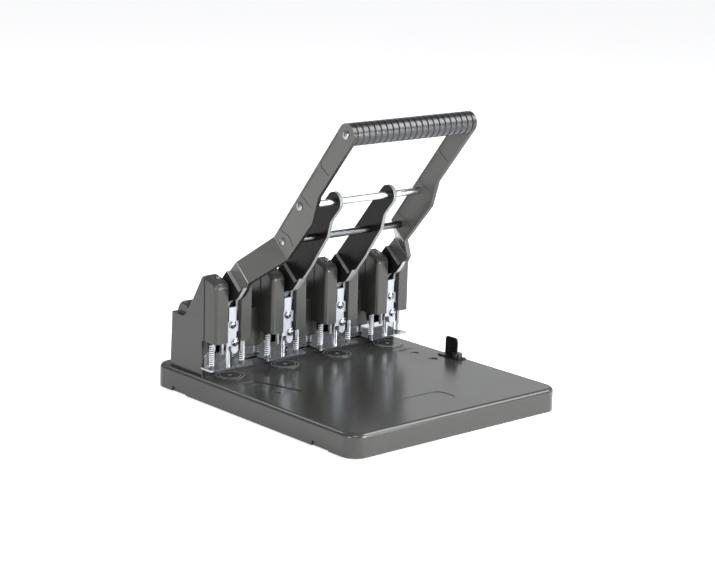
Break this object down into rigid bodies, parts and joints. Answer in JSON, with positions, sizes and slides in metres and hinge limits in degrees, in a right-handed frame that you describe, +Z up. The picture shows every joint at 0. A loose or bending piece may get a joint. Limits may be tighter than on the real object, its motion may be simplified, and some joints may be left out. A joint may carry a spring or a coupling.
{
  "type": "electric hole punch",
  "caption": "Heavy-duty multi-hole paper punch with a flat base, a row of punching heads, a long press lever with a ribbed grip, and a sliding paper guide.",
  "frame": {"origin": "On the ground under the middle of the base, the centre of the overall box's bottom face.", "axes": "+X to the right along the row of heads, +Y from the front edge to the back, +Z up."},
  "size_m": [0.31, 0.353, 0.3345],
  "materials": {
    "housing_plastic": "charcoal moulded plastic, semi-gloss",
    "arm_paint": "dark grey powder coat",
    "dark_steel": "dark phosphated steel",
    "black_steel": "black painted steel",
    "zinc_steel": "zinc-plated steel",
    "polished_steel": "bright nickel plate",
    "tool_steel": "ground tool steel",
    "spring_steel": "bright spring wire",
    "disc_plastic": "dark nylon",
    "black_plastic": "black moulded plastic",
    "grip_rubber": "black ribbed rubber",
    "foot_rubber": "black rubber"
  },
  "bodies": {
    "root": {"base_cover": "housing_plastic", "base_plate": "zinc_steel", "chip_tray": "black_plastic", "feet": "foot_rubber", "rear_housing": "housing_plastic", "frame_rail": "polished_steel", "back_stop": "black_steel", "pivot_pins": "zinc_steel", "guide_posts": "polished_steel", "die_disc_1": "disc_plastic", "stripper_plate_1": "polished_steel", "head_frame_1": "zinc_steel", "head_cover_1": "housing_plastic", "return_springs_1": "spring_steel", "die_disc_2": "disc_plastic", "stripper_plate_2": "polished_steel", "head_frame_2": "zinc_steel", "head_cover_2": "housing_plastic", "return_springs_2": "spring_steel", "die_disc_3": "disc_plastic", "stripper_plate_3": "polished_steel", "head_frame_3": "zinc_steel", "head_cover_3": "housing_plastic", "return_springs_3": "spring_steel", "die_disc_4": "disc_plastic", "stripper_plate_4": "polished_steel", "head_frame_4": "zinc_steel", "head_cover_4": "housing_plastic", "return_springs_4": "spring_steel"},
    "handle": {"upper_rod": "polished_steel", "lower_rod": "polished_steel", "grip_bar": "zinc_steel", "grip": "grip_rubber", "handle_screws": "polished_steel", "arm_1": "arm_paint", "crank_plate_1": "dark_steel", "arm_2": "arm_paint", "crank_plate_2": "dark_steel", "arm_3": "arm_paint", "crank_plate_3": "dark_steel", "arm_4": "arm_paint", "crank_plate_4": "dark_steel"},
    "punch_1": {"carriage_1": "dark_steel", "front_bar_1": "polished_steel", "punch_pin_1": "tool_steel", "bar_screws_1": "polished_steel"},
    "punch_2": {"carriage_2": "dark_steel", "front_bar_2": "polished_steel", "punch_pin_2": "tool_steel", "bar_screws_2": "polished_steel"},
    "punch_3": {"carriage_3": "dark_steel", "front_bar_3": "polished_steel", "punch_pin_3": "tool_steel", "bar_screws_3": "polished_steel"},
    "punch_4": {"carriage_4": "dark_steel", "front_bar_4": "polished_steel", "punch_pin_4": "tool_steel", "bar_screws_4": "polished_steel"},
    "guide": {"paper_guide": "black_steel"},
    "thumb_screw": {"guide_screw": "black_plastic"}
  },
  "joints": [
    {"name": "handle_hinge", "type": "hinge", "parent": "root", "child": "handle", "pos_m": [0, 0.0905, 0.117], "axis": [1, 0, 0], "range_deg": [0, 45], "stiffness_Nm_per_rad": 6, "springref_deg": -34.38},
    {"name": "punch_slide_1", "type": "slide", "parent": "root", "child": "punch_1", "axis": [0, 0, -1], "range_m": [0, 0.0076], "deforming": ["return_springs_1"]},
    {"name": "punch_slide_2", "type": "slide", "parent": "root", "child": "punch_2", "axis": [0, 0, -1], "range_m": [0, 0.0076], "deforming": ["return_springs_2"]},
    {"name": "punch_slide_3", "type": "slide", "parent": "root", "child": "punch_3", "axis": [0, 0, -1], "range_m": [0, 0.0076], "deforming": ["return_springs_3"]},
    {"name": "punch_slide_4", "type": "slide", "parent": "root", "child": "punch_4", "axis": [0, 0, -1], "range_m": [0, 0.0076], "deforming": ["return_springs_4"]},
    {"name": "guide_slide", "type": "slide", "parent": "root", "child": "guide", "axis": [1, 0, 0], "range_m": [-0.002, 0.002]},
    {"name": "thumb_screw_turn", "type": "hinge", "parent": "root", "child": "thumb_screw", "pos_m": [0.1435, -0.021, 0.032], "axis": [0, 0, 1], "range_deg": [-180, 180]}
  ],
  "couplings": [
    {"joint": "punch_slide_1", "follows": "handle_hinge", "m_per_rad": 0.0095493},
    {"joint": "punch_slide_2", "follows": "handle_hinge", "m_per_rad": 0.0095493},
    {"joint": "punch_slide_3", "follows": "handle_hinge", "m_per_rad": 0.0095493},
    {"joint": "punch_slide_4", "follows": "handle_hinge", "m_per_rad": 0.0095493}
  ]
}
